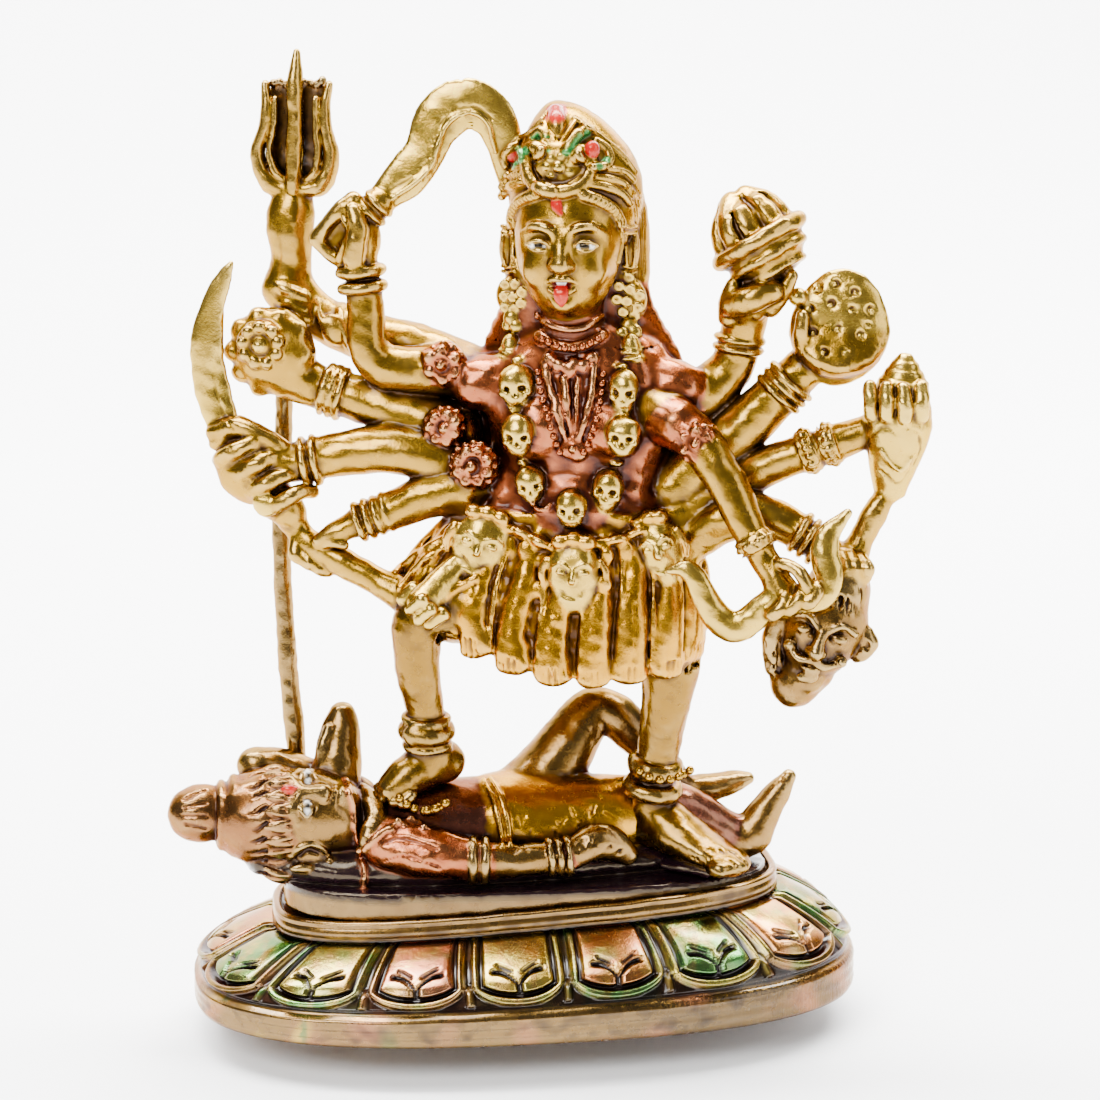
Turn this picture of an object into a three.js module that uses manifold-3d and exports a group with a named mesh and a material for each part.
// A small cast brass altar figure: a ten-armed goddess stands with one foot on a reclining god,
// on a thin oval plate that sits inside the raised rim of a separate oval lotus plinth.
// Units are millimetres and +Z is up. The viewer stands on the -Y side, and +X is to the right.
// The origin is the centre of the plinth's underside.
import * as THREE from "three";
import { mergeVertices } from "three/addons/utils/BufferGeometryUtils.js";
import Module from "manifold-3d";

const wasm = await Module();
wasm.setup();

// Driving sizes of the plinth.
const PLINTH_LENGTH = 144;
const PLINTH_DEPTH = 79;
const PLINTH_HEIGHT = 23.6;
const BAND_HEIGHT = 8;
const RIM_LENGTH = 110;
const RIM_DEPTH = 47;
const RIM_WALL = 2;
const RIM_HEIGHT = 4.8;
const RIM_TILT = 2.7;
const BAND_TILT = 1;
const RECESS_DEPTH = 1.5;
const EDGE_ROUND = 1;
const LIP_ROUND = 0.6;
// The groove between the petals' tops and the rim is this high.
const RIM_GROOVE = 0.3;
// How square the ovals are at their corners: 2 is an ellipse.
const FOOT_FULLNESS = 2.6;
const RIM_FULLNESS = 3;
const PETALS = 16;
// How far the first petal's left edge lies right of the front centre, as a share of a petal.
const PETAL_START = 0.21;
const PETAL_RELIEF = 1.6;
// How much of the shoulder's slope a petal's raised foot follows inward.
const PETAL_FOOT_LEAN = 0.62;
const PETAL_BULGE = 1.6;
// Driving sizes of the figure group: its plate, the goddess and the god under her feet.
const SEAT_CLEARANCE = 0.3;
const PLATE_GAP = 0.6;
const PLATE_THICKNESS = 4.7;
const PLATE_TILT = -0.3;
const PLATE_ROUND = 0.6;
const PLATE_FACETS = 28;
const FIGURES_RIGHT = -0.9;
const FIGURES_BACK = -1.9;
const GODDESS_HEIGHT = 174;
const GODDESS_TURN = -16;
const RECLINER_LENGTH = 133;
const RECLINER_LEAN = 1.6;
const SKIRT_PLEATS = 16;
const SKIRT_PLEAT_DEPTH = 2.4;
// Where the drawn goddess's skirt starts, and how low its hem hangs in the middle.
const SKIRT_WAIST = 103.4;
const SKIRT_HEM = 73.2;

// The poses below are drawn in millimetres for these reference sizes, and then scaled.
const DRAWN_HEIGHT = 174;
const DRAWN_LENGTH = 132;
const DRAWN_FLOOR = 27.1;

const slope = (degrees) => Math.tan(THREE.MathUtils.degToRad(degrees));
const plateFloor = PLINTH_HEIGHT - RECESS_DEPTH + SEAT_CLEARANCE;
const plateTop = plateFloor + PLATE_THICKNESS;

const brass = new THREE.MeshStandardMaterial({ color: 0xb59a55, metalness: 1, roughness: 0.38 });
const darkBrass = new THREE.MeshStandardMaterial({ color: 0x6b5a33, metalness: 1, roughness: 0.45 });

// A closed skin over rings of points that all have one length, with a fan at each end.
// Each fan's middle can stand out beyond its ring.
function skin(rings, startOut = 0, endOut = 0) {
  const sides = rings[0].length;
  const middle = (ring) => ring.reduce((sum, p) => sum.add(p), new THREE.Vector3()).divideScalar(sides);
  const middles = rings.map(middle);
  const beyond = (from, to, out) => to.clone().addScaledVector(to.clone().sub(from).normalize(), out);
  const points = rings.flat();
  const first = points.push(beyond(middles[1], middles[0], startOut)) - 1;
  const last = points.push(beyond(middles.at(-2), middles.at(-1), endOut)) - 1;
  const faces = [];
  for (let k = 0; k < sides; k++) {
    const next = (k + 1) % sides;
    faces.push(first, next, k);
    for (let low = 0; low < (rings.length - 1) * sides; low += sides) {
      const high = low + sides;
      faces.push(low + k, low + next, high + next, low + k, high + next, high + k);
    }
    const top = (rings.length - 1) * sides;
    faces.push(last, top + k, top + next);
  }
  const geometry = new THREE.BufferGeometry().setFromPoints(points);
  geometry.setIndex(faces);
  return geometry;
}

// How much a flat-sided section grows to have the area of its circle.
function sameArea(sides) {
  const step = (2 * Math.PI) / sides;
  return Math.sqrt(step / Math.sin(step));
}

// A tapering limb along a smooth line. Each station is [x, y, z, radius, radius across].
// The second radius, if given, is measured along the direction called across.
// Both ends are closed by a short point, and tip is its length as a share of the radius.
// The flat-sided section has the area of the round limb that it stands for.
function limb(stations, { sides = 5, across = [0, 1, 0], tip = 0.5 } = {}) {
  const curve = new THREE.CatmullRomCurve3(
    stations.map(([x, y, z]) => new THREE.Vector3(x, y, z)), false, "centripetal");
  const spans = stations.length - 1;
  const grow = sameArea(sides);
  const spread = ([, , , radius, radiusAcross = radius]) => [radius * grow, radiusAcross * grow];
  const rings = [];
  for (let step = 0; step <= spans; step++) {
    const share = step / spans;
    const along = curve.getTangent(share).normalize();
    const side = new THREE.Vector3(...across);
    side.addScaledVector(along, -side.dot(along)).normalize();
    const flat = new THREE.Vector3().crossVectors(side, along).normalize();
    const [wide, deep] = spread(stations[step]);
    rings.push(Array.from({ length: sides }, (_, k) => {
      const angle = (2 * Math.PI * (k + 0.5)) / sides;
      return curve.getPoint(share)
        .addScaledVector(flat, Math.cos(angle) * wide)
        .addScaledVector(side, Math.sin(angle) * deep);
    }));
  }
  return skin(rings, spread(stations[0])[0] * tip, spread(stations.at(-1))[0] * tip);
}

// An egg-shaped lump. Its turn is in degrees about Y, as seen from the front.
function lump([x, y, z], [rx, ry, rz], { turn = 0, across = 5, down = 4 } = {}) {
  const grow = sameArea(across);
  return new THREE.SphereGeometry(grow, across, down)
    .rotateX(Math.PI / 2)
    .scale(rx, ry, rz)
    .rotateY(THREE.MathUtils.degToRad(turn))
    .translate(x, y, z);
}

// A round flower of petals that faces the viewer, stood on the piece behind it.
function rosette([x, y, z], radius, petals, depth) {
  const notch = 0.86;
  const level = (share, forward) => Array.from({ length: petals * 2 }, (_, k) => {
    const angle = (Math.PI * k) / petals;
    const reach = radius * share * (k % 2 ? notch : 1);
    return new THREE.Vector3(x + reach * Math.cos(angle), y - forward, z + reach * Math.sin(angle));
  });
  return skin([level(0.8, -depth), level(1, 0), level(0.66, depth)], 0, depth * 0.1);
}

// A turned piece: its outline is [radius, height] pairs, stood at a place and leaned over.
function turned(outline, [x, y, z], { lean = 0, nod = 0, sides = 8 } = {}) {
  return new THREE.LatheGeometry(outline.map(([r, h]) => new THREE.Vector2(r, h)), sides)
    .rotateX(Math.PI / 2)
    .rotateX(THREE.MathUtils.degToRad(nod))
    .rotateY(THREE.MathUtils.degToRad(lean))
    .translate(x, y, z);
}

function solid(geometry) {
  const bare = geometry.clone();
  bare.deleteAttribute("normal");
  bare.deleteAttribute("uv");
  const merged = mergeVertices(bare, 1e-4);
  return new wasm.Manifold(new wasm.Mesh({
    numProp: 3,
    vertProperties: new Float32Array(merged.attributes.position.array),
    triVerts: new Uint32Array(merged.index.array),
  }));
}

function joined(geometries) {
  return geometries.map(solid).reduce((whole, piece) => whole.add(piece));
}

function meshOf(manifold, name, material) {
  const made = manifold.getMesh();
  const geometry = new THREE.BufferGeometry();
  geometry.setAttribute("position", new THREE.BufferAttribute(made.vertProperties, 3));
  geometry.setIndex(new THREE.BufferAttribute(made.triVerts, 1));
  geometry.computeVertexNormals();
  const mesh = new THREE.Mesh(geometry, material);
  mesh.name = name;
  return mesh;
}

// A point of an oval with full corners, by its angle from the front centre.
function onOval(angle, halfLength, halfDepth, fullness) {
  const full = (value) => Math.sign(value) * Math.abs(value) ** (2 / fullness);
  return [full(Math.sin(angle)) * halfLength, -full(Math.cos(angle)) * halfDepth];
}

// The oval halfway up the petals, used to give every petal the same length of edge.
class PetalLine extends THREE.Curve {
  getPoint(share, target = new THREE.Vector3()) {
    const [halfLength, halfDepth] = [(PLINTH_LENGTH + RIM_LENGTH) / 4, (PLINTH_DEPTH + RIM_DEPTH) / 4];
    const [x, y] = onOval(2 * Math.PI * share, halfLength, halfDepth, (FOOT_FULLNESS + RIM_FULLNESS) / 2);
    return target.set(x, y, 0);
  }
}

function petalAngles(shares) {
  const line = new PetalLine();
  line.arcLengthDivisions = 720;
  return Array.from({ length: PETALS * shares.length }, (_, k) => {
    const along = Math.floor(k / shares.length) + shares[k % shares.length] + PETAL_START;
    return 2 * Math.PI * line.getUtoTmapping((along / PETALS) % 1);
  });
}

// The plinth: one skin from the underside over the plain band, the ring of lotus petals and the rim.
// The underside is flat, and the casting above it stands higher towards its right end.
function plinth() {
  // Columns across a petal: the share of its width, whether it stands out, and how far its lip rises.
  const columns = [[0, 0, 5.4], [0.1, 1, 4.2], [0.33, 1, 0.7], [0.67, 1, 0.7], [0.9, 1, 4.2]];
  const angles = petalAngles(columns.map(([share]) => share));
  const petalTop = PLINTH_HEIGHT - RIM_HEIGHT;
  // A row on the sloping shoulder: the relief there, and how much of the lip's rise it takes.
  const shoulder = (share, relief, lift) => {
    const bulge = Math.sin(Math.PI * share) * PETAL_BULGE;
    const half = (foot, top) => THREE.MathUtils.lerp(foot, top, share) / 2 + bulge;
    const height = THREE.MathUtils.lerp(BAND_HEIGHT, petalTop, share);
    return [half(PLINTH_LENGTH, RIM_LENGTH), half(PLINTH_DEPTH, RIM_DEPTH), height, share, relief, lift];
  };
  const band = (inset, height) => [PLINTH_LENGTH / 2 - inset, PLINTH_DEPTH / 2 - inset, height, 0, 0, 0];
  const rim = (inset, height) => [RIM_LENGTH / 2 - inset, RIM_DEPTH / 2 - inset, height, 1, 0, 0];
  // Each row: half length, half depth, height, share of the way from band to rim, relief, lift.
  const rows = [
    band(EDGE_ROUND, 0),
    band(0, EDGE_ROUND),
    band(0, BAND_HEIGHT - EDGE_ROUND),
    shoulder(0.08, 0, 1),
    shoulder(0.12, 1, 1),
    shoulder(0.6, 1, 0),
    shoulder(0.95, 0.9, 0),
    rim(EDGE_ROUND, petalTop + RIM_GROOVE),
    rim(0, PLINTH_HEIGHT - LIP_ROUND),
    rim(RIM_WALL, PLINTH_HEIGHT),
    rim(RIM_WALL, PLINTH_HEIGHT - RECESS_DEPTH),
  ];
  // A lifted point follows the shoulder's slope inward.
  const inward = (PLINTH_DEPTH - RIM_DEPTH) / 2 / (petalTop - BAND_HEIGHT);
  const rings = rows.map(([halfLength, halfDepth, height, share, relief, lift], row) =>
    angles.map((angle, k) => {
      const [, stand, rise] = columns[k % columns.length];
      const out = PETAL_RELIEF * relief * stand - inward * lift * rise * PETAL_FOOT_LEAN;
      const fullness = THREE.MathUtils.lerp(FOOT_FULLNESS, RIM_FULLNESS, share);
      const [x, y] = onOval(angle, halfLength + out, halfDepth + out, fullness);
      const tilt = row < 2 ? 0 : THREE.MathUtils.lerp(slope(BAND_TILT), slope(RIM_TILT), share);
      return new THREE.Vector3(x, y, height + lift * rise + tilt * x);
    }));
  return meshOf(solid(skin(rings)), "lotus_plinth", darkBrass);
}

// The thin oval plate under both figures. It lies in the recess, clear of the rim all round.
function plate() {
  const inset = RIM_WALL + PLATE_GAP;
  const level = (height, tilt, round) => Array.from({ length: PLATE_FACETS }, (_, k) => {
    const [x, y] = onOval((2 * Math.PI * k) / PLATE_FACETS, RIM_LENGTH / 2 - inset - round,
      RIM_DEPTH / 2 - inset - round, RIM_FULLNESS);
    return new THREE.Vector3(x, y, height + slope(tilt) * x);
  });
  return skin([
    level(plateFloor, RIM_TILT, 0),
    level(plateTop - PLATE_ROUND, PLATE_TILT, 0),
    level(plateTop, PLATE_TILT, PLATE_ROUND),
  ]);
}

// The goddess, part by part, drawn in her own frame before she is turned on her plate.
function trident() {
  const hook = (way) => limb([[-49.2 + 0.4 * way, 7, 172.6, 1.8, 2.2],
    [-49.2 + 5.2 * way, 7, 173, 2.2, 2.4], [-49.4 + 8 * way, 7, 179.5, 1.6, 2.2],
    [-48.9 + 6 * way, 7, 187.2, 1.3, 2], [-48.4 + 6.8 * way, 7, 194, 0.5, 0.9]], { sides: 4 });
  return [
    limb([[-48.9, -1, 44, 2.4, 3.2], [-52.6, 2.8, 86, 2.2, 3], [-52.4, 6, 126, 2.2, 3],
      [-50.6, 8, 152, 2.2, 3]], { sides: 4 }),
    limb([[-50.4, 8, 154, 3.4], [-50.6, 8, 158, 3], [-51, 8, 166.2, 5.1], [-49.6, 8, 171.4, 3],
      [-49.2, 8, 176, 3.4]]),
    limb([[-49.2, 6.6, 174, 1.8, 2.2], [-48.8, 6.6, 188, 1.8, 2.2],
      [-48.4, 7, 200.4, 0.8, 1.1]], { sides: 4 }),
    hook(-1),
    hook(1),
    limb([[-49.2, 9, 173, 6.4, 1.4], [-49.2, 9, 182, 7, 1.4],
      [-48.4, 9, 193.4, 5.8, 1.4]], { sides: 4, tip: 0 }),
  ];
}

function tridentArm() {
  return [
    limb([[-10, 5, 132.4, 7], [-24, 7, 139, 6.8], [-34, 8, 140.8, 5.8], [-40.2, 8.4, 142.8, 5.6],
      [-42, 8.4, 143.6, 4.8], [-49, 8, 147.6, 5]]),
  ];
}

function raisedSwordArm() {
  return [
    limb([[-14, 0, 134.6, 5.4], [-24, -2, 135.6, 5], [-31, -4, 138, 4.8], [-31.8, -4, 149.6, 4],
      [-32.1, -4, 151.2, 5.2], [-32.7, -4, 156, 5.2], [-33, -4, 157.4, 4], [-34.2, -4, 161.6, 4.4]]),
    lump([-34.6, -4.4, 164.8], [5, 4, 5.8], { turn: 20 }),
    limb([[-40.4, -4, 161.2, 1.8], [-36.4, -6.8, 164.6, 2.2], [-32.6, -6.4, 169.2, 1.8]], { sides: 4 }),
    limb([[-33.6, -3.6, 166, 4], [-29, -3, 170.2, 4.2], [-28, -2.8, 171.4, 3, 1.8],
      [-24.8, -2.6, 174.6, 4, 1.9], [-19.5, -2, 180.2, 4, 2], [-17, -1.4, 187.2, 4.8, 2],
      [-11.4, -1, 191.2, 4.8, 2], [-5.4, -0.6, 188.8, 4.6, 2], [-2.8, -0.4, 183.6, 4, 2],
      [-0.8, 0, 175, 3.2, 2]], { tip: 0.1 }),
  ];
}

function flowerArm() {
  const heart = [-53.2, -3.4, 138.8];
  return [
    limb([[-14, -1, 122.6, 5.8], [-30, 0, 127.4, 5.4], [-37, 0, 129, 4.8], [-38.4, 0, 129.4, 5.8],
      [-42, 0, 130.4, 5.6], [-49, -0.6, 133.2, 6.4]]),
    rosette(heart, 10.4, 8, 5.6),
    rosette([heart[0] - 0.6, heart[1] - 4.6, heart[2] + 1.4], 5.6, 7, 2),
  ];
}

function swordArm() {
  const finger = (k) => limb([[-61.4 + 2.4 * k, -9, 114.6 - 3.4 * k, 1.4],
    [-57 + 2.4 * k, -13.2, 116.4 - 3.2 * k, 1.8],
    [-52.4 + 1.4 * k, -10, 119 - 3.6 * k, 1.4]], { sides: 4 });
  return [
    limb([[-12, -3, 114.6, 6], [-29, -5, 118.4, 5.4], [-38, -6, 117.2, 4.8], [-50, -7.4, 115.4, 5]]),
    lump([-56.4, -8, 113], [7.4, 5, 7.8], { turn: -35 }),
    ...[0, 1, 2].map(finger),
    limb([[-60.2, -7, 117.6, 4.6], [-61.8, -6.8, 120.2, 4.4], [-62.2, -6, 121.6, 3.1, 1.6],
      [-64.5, -6, 130, 4, 1.6], [-65.6, -6, 140, 4, 1.6], [-63.8, -6, 149.4, 3.1, 1.3],
      [-60, -6, 157, 0.6, 0.6]]),
    limb([[-51.4, -7, 108.6, 4], [-48.4, -7, 104.6, 4.2], [-47.4, -7, 103.4, 2.5],
      [-42.6, -7.4, 97.6, 2]]),
  ];
}

function lowerLeftArms() {
  return [
    limb([[-10, -5, 111.4, 5.8], [-22, -7, 108, 4.6], [-31, -8, 104.4, 4.2], [-35, -8.8, 102.6, 3.1],
      [-41, -10.2, 100, 2]]),
    limb([[-14, -10, 84.6, 6], [-24, -10, 89.4, 4.2], [-33, -9, 93.6, 4], [-41.4, -8, 97.4, 3.8],
      [-48.4, -7, 101.6, 2.4]]),
    limb([[-45.4, -6, 98, 1.8], [-42, -6.6, 93, 2.4], [-36.4, -8, 91, 1.6]], { sides: 4 }),
  ];
}

function bowlArm() {
  return [
    limb([[32, 1, 126.4, 6.4], [43.4, 2.6, 135.2, 5], [45.4, 2, 143, 5], [47, 0, 150, 5.6]]),
    limb([[44, -3, 149, 3], [50.2, -5, 151.2, 3.4], [55.6, -3.6, 154, 2.4]], { sides: 4 }),
    turned([[0, -8.6], [5.2, -7.2], [8.4, -3], [9, -0.4], [10, 0], [10, 1.8], [7.8, 2.4], [7.4, 6.8],
      [5.4, 10.4], [0, 12.6]], [50, -2, 162.4], { lean: -31 }),
    limb([[43.8, -7, 162.6, 2.2], [43.8, -8, 167.8, 2.6], [46.2, -6, 172.8, 2]], { sides: 4 }),
  ];
}

function discArm() {
  return [
    limb([[34.6, 0, 113, 6.6], [47.2, 0, 124.8, 5.8], [56.4, 0.6, 134.4, 5.2], [63, 1.6, 140.4, 4.8]]),
    lump([58.2, -1.6, 151.4], [2.6, 2.2, 2.2], { across: 5, down: 3 }),
    turned([[0, -6.6], [8.4, -5.8], [10.6, -3], [10.4, 0], [9, 1.2], [5.4, 2.8], [0, 3.4]],
      [66.3, -0.6, 145.8], { nod: 66, sides: 12 }),
  ];
}

function conchArm() {
  return [
    limb([[38, -1, 107, 5.4], [51, -2, 115.9, 4.3], [58, -3, 119, 4.1], [59.4, -2.8, 119.6, 4.9],
      [66, -2.8, 122, 4.9], [74, -2, 124.6, 3.4]]),
    turned([[0, -14.4], [2.8, -13.2], [4.8, -6], [7, 2.4], [7.2, 6], [6.2, 9.6], [5, 9.8], [4.6, 12.6],
      [2.8, 16.2], [0, 17.8]], [78.4, -4, 123.2], { lean: 5 }),
    ...[0, 1, 2, 3].map((k) => lump([73.4 + 3.5 * k, -9.4 + 0.6 * (k - 1.4) ** 2, 130.6], [1.7, 1.8, 2.6],
      { across: 4, down: 3 })),
    limb([[76.4, -4.4, 112, 2.2], [73, -5, 104.6, 3], [69.6, -6.4, 97, 4]]),
  ];
}

function headArm() {
  return [
    limb([[40, -4, 103.6, 4.8], [49.6, -5.4, 107.4, 4.8], [58, -6, 104, 4.2], [59.4, -6, 103.2, 5],
      [64.4, -6.8, 100.2, 5], [70, -8, 96, 4]]),
  ];
}

function severedHead() {
  return [
    limb([[71.4, -7, 96, 3.4, 4], [69.2, -8, 91, 5.8, 6.6], [66.4, -8.6, 86, 7.4, 8],
      [63.6, -9, 80, 6.6, 7.2], [60.8, -9.4, 74.8, 3.8, 4.6]], { sides: 6 }),
    limb([[59.4, -5, 82, 4.4], [57, -5, 76, 4], [60.6, -6, 71.6, 2.2]]),
    limb([[66.4, -15.8, 88, 1], [64.6, -17.4, 84, 2], [64.2, -16.8, 82, 1.8]], { sides: 4 }),
    lump([74.4, -7, 85], [1.8, 2.2, 3.4], { turn: 25, across: 4, down: 3 }),
    limb([[58.8, -15, 80.8, 0.8], [62.6, -17, 79.6, 1.4], [68.2, -15.6, 81.4, 0.9]], { sides: 4 }),
  ];
}

function bowArm() {
  return [
    limb([[30, -6, 128, 6], [38.6, -10.4, 122.6, 5], [44.2, -13, 115, 4.4], [49.6, -15, 105, 3.8],
      [50.6, -15.4, 103.4, 4.8], [52.4, -16.2, 100.4, 4.7], [56.4, -18, 93.8, 3.8]]),
    lump([57.4, -18.4, 91.2], [4.8, 3.6, 3.8], { turn: -30 }),
    limb([[54.6, -17, 99.2, 1.6], [59, -19.6, 98.6, 1.8], [61.2, -21, 94.8, 1.8]], { sides: 4 }),
    ...[0, 1].map((k) => lump([55.2 + 3.8 * k, -21.2, 89.6 + 1.2 * k],
      [2, 1.8, 2.4], { turn: -20, across: 4, down: 3 })),
    limb([[33.2, -19, 97.3, 0.8], [38.2, -19, 97.2, 1.9], [40.7, -19, 92, 2.5], [43.1, -19, 88, 2.9],
      [47, -19, 85.8, 3.2], [51, -19, 88.4, 2.9], [55.4, -18.6, 92.6, 2.4], [61, -18.4, 91.8, 2.4],
      [65.4, -18, 94.6, 2.6], [65.7, -17, 99.4, 2.8], [64.6, -16, 104, 2.6],
      [69, -15, 109.2, 1.4]], { sides: 4 }),
  ];
}

function torso() {
  const armlet = (place) => rosette(place, 4.8, 4, 2.4);
  const chain = (way) => limb([[12.6 + 7 * way, -10.4, 138, 1.2], [12.4 + 5.4 * way, -14.4, 126, 1.4],
    [12.2 + 1.6 * way, -14.6, 115.6, 1.4]], { sides: 4 });
  return [
    limb([[10, -1, 98, 28, 12.4], [10.6, -1, 106, 26, 12], [12, -1, 115, 20.4, 11.2],
      [12.6, -1.2, 125, 21, 12.2], [12.6, -1, 132, 22, 11], [12, 0, 139, 17.4, 9],
      [11.5, -2, 142.4, 8.8, 7.2], [11.4, -2, 147, 7, 6.8]], { sides: 7, tip: 0.05 }),
    limb([[10.8, 3, 172, 13.4, 9.4], [10.8, 3.4, 158, 15, 9], [11.3, 3.8, 148, 16.8, 8.4],
      [11.5, 4.4, 138, 21.6, 8], [12.6, 5, 121, 25.6, 7.4],
      [13.6, 5, 104, 23, 7]], { sides: 7, tip: 0.05 }),
    ...[-1, 1].map((way) => lump([12.6 + 7.2 * way, -11, 124.6], [5.8, 4.8, 6])),
    ...[[-15.4, -5.4, 136.8], [-13.4, -7.4, 124.4], [-8.4, -10, 116.4], [37.4, -13, 123.4]].map(armlet),
    chain(-1),
    chain(1),
    lump([12.2, -14.4, 113.8], [3.8, 2.2, 3], { across: 5, down: 3 }),
  ];
}

function head() {
  const pair = (make) => [make(-1), make(1)];
  return [
    limb([[10.8, -6.4, 149.6, 4.4, 5], [10.8, -6.6, 153.6, 8.2, 8.2], [10.8, -6, 160.6, 11.2, 10.2],
      [10.9, -4.6, 168, 12, 10.8], [11.2, -1.6, 170.4, 14.2, 12.4], [11, -1.6, 175.6, 13.8, 11.6],
      [9.8, -1.8, 181.6, 9.8, 9], [8.2, -2.4, 187.6, 3.8, 4.2]], { sides: 7 }),
    lump([7.6, -6.6, 186.6], [2.4, 2.8, 4], { across: 5, down: 3 }),
    rosette([9.4, -12.6, 176.4], 3.8, 4, 2),
    ...pair((way) => lump([9.8 + 7.8 * way, -11, 177], [3.2, 2.6, 3.2], { across: 5, down: 3 })),
    ...pair((way) => lump([11.2 + 12.4 * way, -3, 160.4], [2.4, 3.4, 5.4], { across: 5, down: 3 })),
    ...pair((way) => rosette([11.4 + 11.6 * way, -5.4, 152.6], 4, 4, 3.2)),
    limb([[10.1, -15, 167, 1], [9.9, -16.8, 161, 2]], { sides: 4 }),
    lump([10.4, -15, 155.2], [3.2, 1.8, 2], { across: 5, down: 3 }),
  ];
}

// Each skull of the garland tapers from its crown to its jaw.
function garland() {
  const places = [[0.3, -9, 140], [1.4, -12, 130], [1.9, -12.2, 120], [4.4, -12.8, SKIRT_WAIST + 6.2],
    [12.5, -14.2, SKIRT_WAIST + 1.2], [20.2, -12.8, SKIRT_WAIST + 5.2], [23.8, -11.6, 119.8],
    [23.8, -11.4, 129.2], [24.6, -8.4, 139.8]];
  const skull = ([x, y, z]) => [[x, y, z + 3, 2.6, 2.8], [x, y, z + 0.6, 3.4, 3.4],
    [x, y, z - 4, 2, 2.4]];
  return places.map((place) => limb(skull(place), { tip: 0.3 }));
}

// The girdle of severed arms: pleats that fan from the waist to a hem that rises over the bent knee.
function skirt() {
  const columns = SKIRT_PLEATS * 2;
  // Each row: share of the drop, centre, half width, half depth.
  const rows = [[0, 10, 27, 13], [0.3, 8.4, 32, 16], [0.72, 6.4, 34, 18.4], [1, 7.4, 31, 18.4]];
  // The hem rises by 9 over the bent knee on the left and by 6 on the right.
  const { smoothstep, lerp } = THREE.MathUtils;
  const hemAt = (x) => SKIRT_HEM + 9 * smoothstep(-x, -10, 24) + 6 * smoothstep(x, 30, 42);
  const ringOf = ([share, centre, halfWidth, halfDepth]) => Array.from({ length: columns }, (_, k) => {
    const angle = (2 * Math.PI * k) / columns;
    const fold = (k % 2 ? -0.5 : 0.5) * SKIRT_PLEAT_DEPTH * smoothstep(share, 0, 0.6);
    const x = centre + (halfWidth + fold) * Math.cos(angle);
    const y = -1.4 - share + (halfDepth + fold) * Math.sin(angle);
    return new THREE.Vector3(x, y, lerp(SKIRT_WAIST, hemAt(x) + (k % 2 ? 1 : 0), share));
  });
  const mask = (place, size, turn) => lump(place, [5.2 * size, 3.8 * size, 7 * size], { turn });
  return [
    skin(rows.map(ringOf).reverse()),
    mask([-5.8, -15.8, SKIRT_WAIST - 4.4], 0.96, 14),
    mask([13.7, -18, SKIRT_WAIST - 8.8], 1.1, 0),
    mask([32.6, -13.6, SKIRT_WAIST - 5], 0.94, -16),
    limb([[-14, -15.4, 91.4, 2.4], [-18.6, -16.4, 88.6, 3.4], [-22.4, -15.4, 84.4, 1.8]]),
  ];
}

function legs() {
  return [
    limb([[2, -5, 90, 9], [-14, -11, 87.4, 7.6], [-20.2, -13, 81, 5.4], [-19.6, -12.6, 72, 4.8],
      [-18.9, -11, 62, 4.1], [-18.8, -10.8, 61, 5.4], [-18.2, -10, 56, 6.2], [-18, -9.6, 54.6, 5]]),
    limb([[-15.6, -6.8, 50.6, 5.2, 5], [-20, -9.6, 49.6, 5.6, 4.8],
      [-26, -13.4, 46.4, 4.6, 3.6]], { across: [0, 0, 1] }),
    limb([[27, -2, 90, 9], [32, -3, 77, 6.2], [30.8, -2, 65.6, 4.8], [28.8, 0, 51.4, 4.4],
      [28.4, 0.2, 49.8, 6], [27.8, 1.2, 42.6, 6.8], [27.6, 1.6, 41, 5.4]]),
    limb([[24.4, 3, 35.4, 5.4, 5.6], [28.8, 2, 35.4, 6, 6.2], [36, -0.8, 33.2, 6.4, 4.6],
      [45, -4.4, 30.6, 5.6, 2.4]], { across: [0, 0, 1] }),
    limb([[33, 2, 28.8, 6.6, 2], [42, -2, 28.6, 4.8, 1.8]], { across: [0, 0, 1] }),
  ];
}

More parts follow.
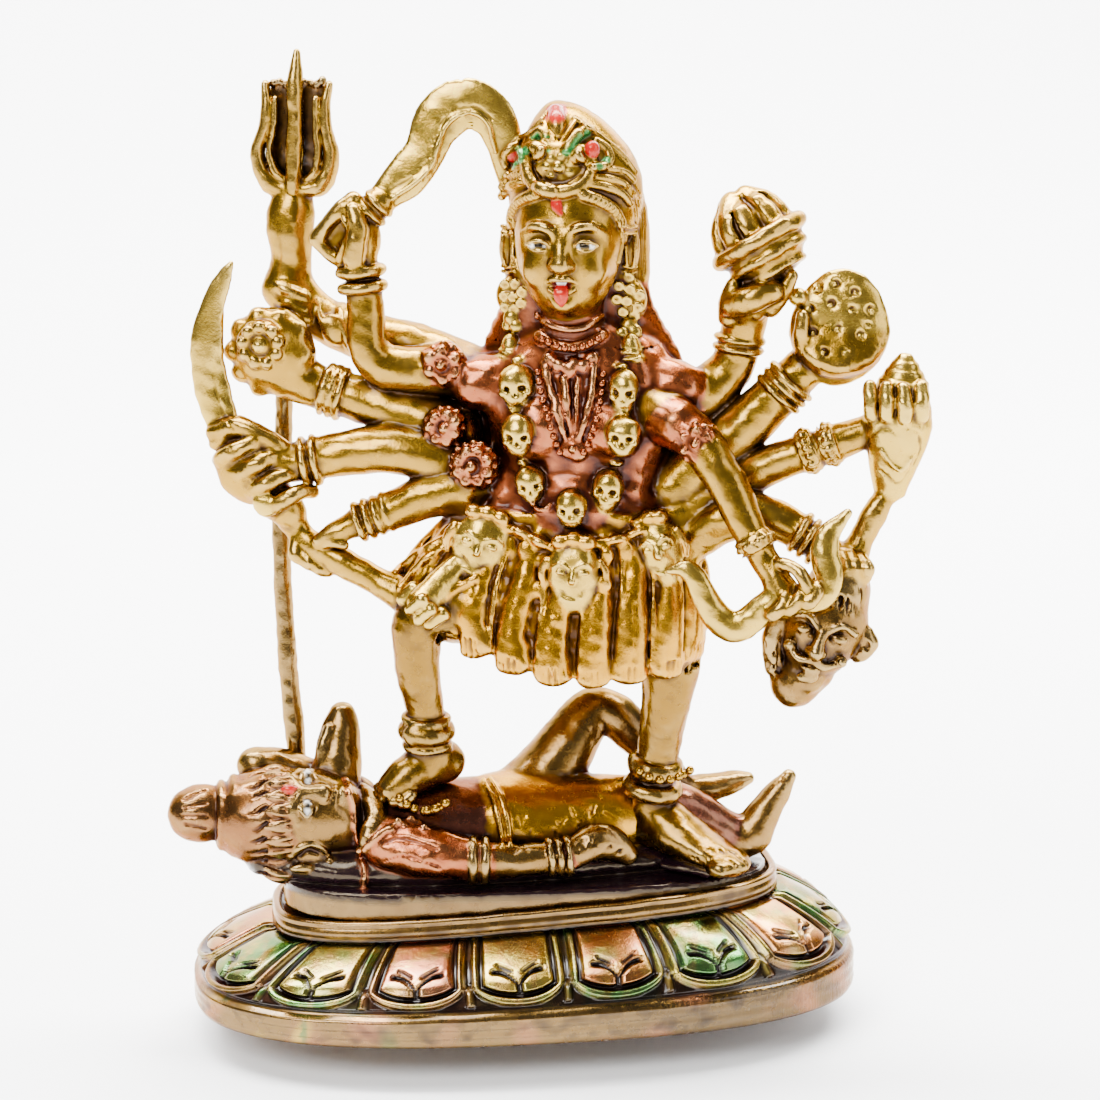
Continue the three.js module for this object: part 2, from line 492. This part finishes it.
// The god lies on his back along the plate, with his head to the left and one knee raised.
function recliner() {
  return [
    limb([[-71.4, 1, 39.2, 5.6], [-68.2, 1, 39.2, 6.6], [-65.6, 1.4, 38.8, 5.2], [-64.6, 1.4, 38.6, 8],
      [-61, 1, 38.6, 8.6, 9.4], [-54, 0, 38.6, 11, 11], [-46, -1, 38.6, 10.4, 10.2],
      [-37, -1, 37, 8, 8.4], [-29, 0, 36, 9.6, 12.2], [-17, 0.4, 35, 11, 13],
      [-6, 0.6, 35.4, 11, 11.8], [-5, 0.6, 35.8, 12, 12.6], [6, 0, 36, 11.2, 12], [20, -1, 38, 9, 9.2],
      [29, -1, 40, 6.8, 6.8], [38, -1.4, 37.4, 5.4], [45, -2, 33.4, 4.8], [49, -2.4, 36, 4.6],
      [56, -2.4, 45.6, 2.4, 3.2]], { sides: 6 }),
    limb([[-47.4, -4.6, 47.6, 1.4], [-42.8, -5.4, 48.2, 2.2]], { sides: 4 }),
    lump([-48.8, -10.2, 33.4], [3.2, 2, 3.6], { across: 4, down: 3 }),
    limb([[-40.6, 4, 42, 6.4], [-39.4, 6.4, 52, 5.2], [-38.8, 7.6, 58.4, 3.6]]),
    limb([[-36, 7, 40, 6], [-46, 11, 44, 4.8], [-56.2, 9.4, 47.2, 4.6]]),
    limb([[-34, -8.4, 30, 2.2], [-31.6, -8.6, 40, 2.7], [-35.4, -5, 45.8, 2.2]], { sides: 4 }),
    limb([[-29.6, -9.6, 35, 6.4], [-20, -14, 34.2, 5.4], [-14, -15, 33.2, 4.4],
      [-13.4, -15, 33.2, 5.2], [-9.4, -15.6, 32.8, 5], [-8.8, -15.6, 32.8, 3.9], [6, -16, 33.8, 3.9],
      [13.6, -14.4, 36, 4.8, 4.4], [20, -13.6, 33.4, 3.4, 3]]),
    limb([[0, 4, 39.4, 8.6], [9, 6, 49.8, 7.6], [14.8, 7, 58.2, 6.2], [19.8, 7, 59, 6],
      [28.4, 7, 50.6, 5], [36, 7, 41, 3.8], [42, 7.6, 41.4, 3.4, 3.8], [49.4, 8, 42.6, 2.2, 3]]),
    limb([[-50, 0, 30, 4.6, 8.4], [-20, 0, 29, 5.4, 12], [20, 0, 30, 4.6, 11], [47, -1, 31, 2.8, 5.6]]),
  ];
}

// Drawn pieces are scaled by their own figure's size, from the height of the plate's top.
function placed(geometries, scale, turn, lean) {
  return geometries.map((geometry) => geometry
    .translate(0, 0, -DRAWN_FLOOR)
    .scale(scale, scale, scale)
    .rotateY(THREE.MathUtils.degToRad(lean))
    .rotateZ(THREE.MathUtils.degToRad(turn))
    .translate(FIGURES_RIGHT, FIGURES_BACK, plateTop));
}

const goddess = [
  trident, tridentArm, raisedSwordArm, flowerArm, swordArm, lowerLeftArms, bowlArm, discArm, conchArm,
  headArm, severedHead, bowArm, torso, head, garland, skirt, legs,
].flatMap((make) => make());

const group = new THREE.Group();
group.add(plinth());
group.add(meshOf(joined([
  plate(),
  ...placed(goddess, GODDESS_HEIGHT / DRAWN_HEIGHT, GODDESS_TURN, 0),
  ...placed(recliner(), RECLINER_LENGTH / DRAWN_LENGTH, 0, RECLINER_LEAN),
]), "goddess_and_god", brass));

export default group;
